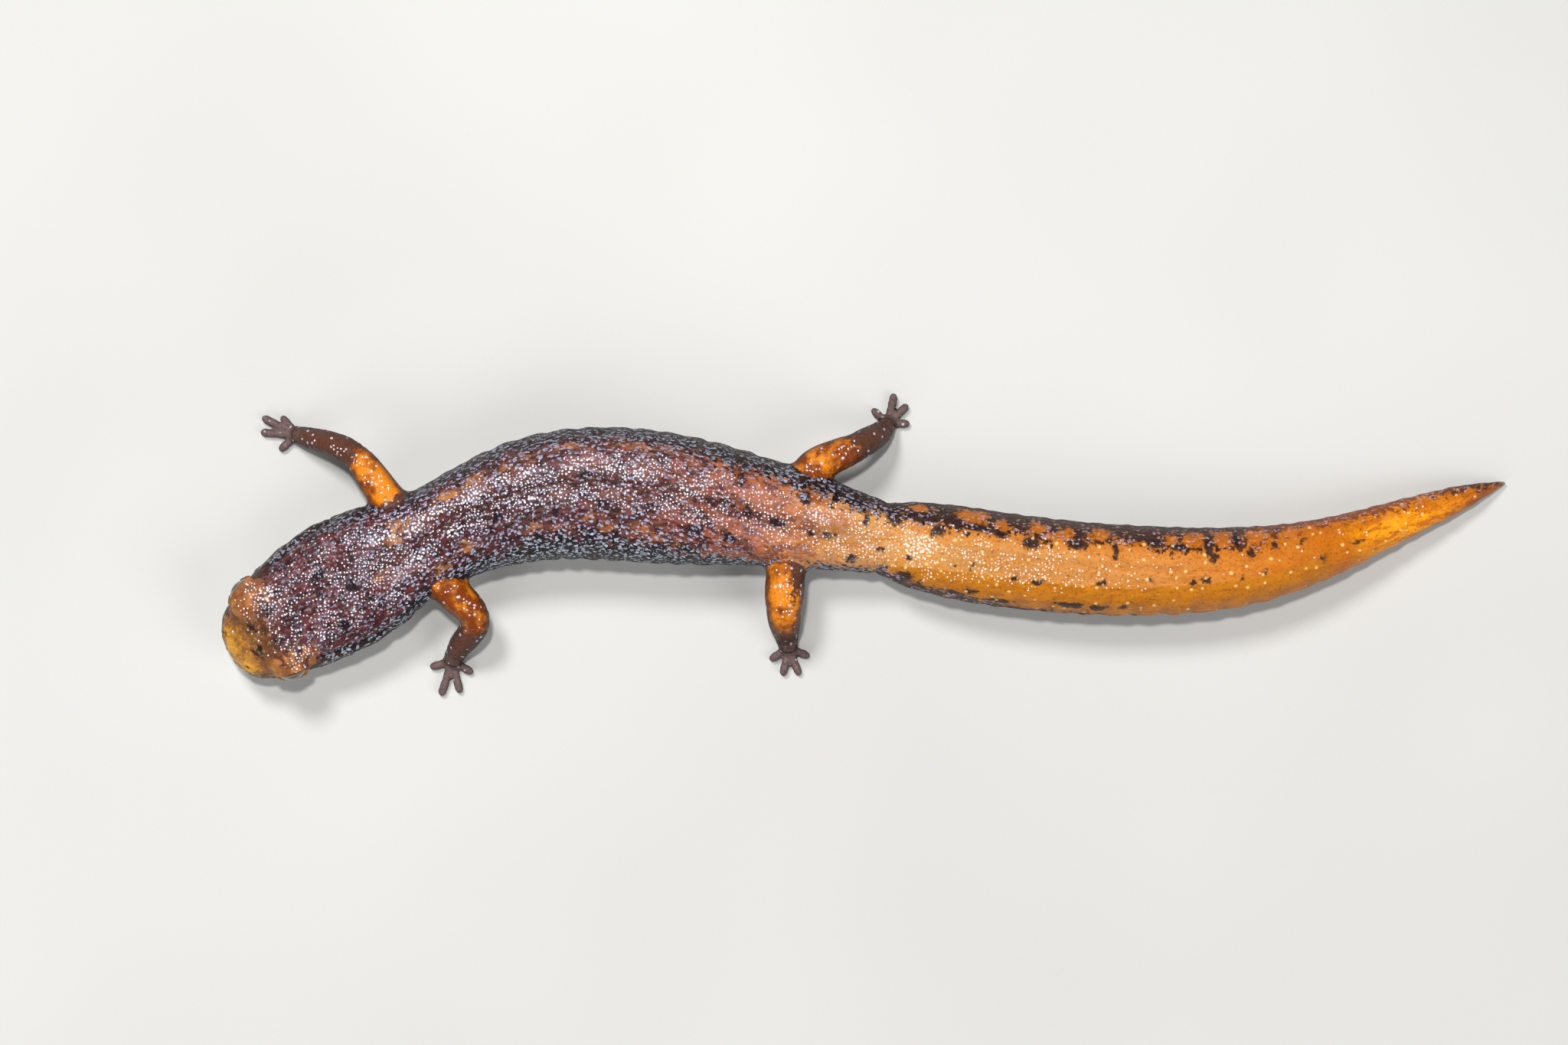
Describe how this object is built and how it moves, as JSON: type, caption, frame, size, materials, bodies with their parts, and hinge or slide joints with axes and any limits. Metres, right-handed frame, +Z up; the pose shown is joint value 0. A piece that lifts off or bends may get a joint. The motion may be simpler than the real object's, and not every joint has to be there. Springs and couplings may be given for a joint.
{
  "type": "four-toed salamander",
  "caption": "Life-size salamander lying still, long rounded body bent in a slow curve, tail pinched at its base, short splayed legs and bulging eyes.",
  "frame": {"origin": "middle of the outline box on the floor that the animal lies on", "axes": "+X runs tailwards along the animal's length, with the snout towards -X; +Y is towards its right side; +Z is up, from the belly to the back"},
  "size_m": [0.0596, 0.014, 0.0051],
  "materials": {
    "head_skin": "moist dark purplish brown skin with fine white flecks, yellow-brown at the snout",
    "throat_skin": "moist skin, grey at the lip and white with black spots under the chin",
    "back_skin": "moist purplish brown skin with fine white flecks, rusty patches and dark blue-grey sides",
    "hip_skin": "moist pinkish tan skin with fine white flecks and dark spots",
    "tail_skin": "moist golden orange skin, mottled with dark brown along the sides",
    "upper_leg_skin": "moist orange skin with a few white flecks",
    "lower_leg_skin": "moist grey-brown skin with pale flecks",
    "eye": "wet, glossy, copper iris round a dark pupil"
  },
  "bodies": {
    "root": {"eye_left": "eye", "eye_right": "eye", "front_left_forearm": "lower_leg_skin", "front_left_hand": "lower_leg_skin", "front_left_upper_arm": "upper_leg_skin", "front_right_forearm": "lower_leg_skin", "front_right_hand": "lower_leg_skin", "front_right_upper_arm": "upper_leg_skin", "head": "head_skin", "hind_left_foot": "lower_leg_skin", "hind_left_shank": "lower_leg_skin", "hind_left_thigh": "upper_leg_skin", "hind_right_foot": "lower_leg_skin", "hind_right_shank": "lower_leg_skin", "hind_right_thigh": "upper_leg_skin", "hips": "hip_skin", "lower_jaw": "throat_skin", "neck": "head_skin", "tail_base": "tail_skin", "tail_front": "tail_skin", "tail_middle": "tail_skin", "tail_rear": "tail_skin", "tail_tip": "tail_skin", "trunk_front": "back_skin", "trunk_middle": "back_skin", "trunk_rear": "back_skin"}
  },
  "joints": []
}
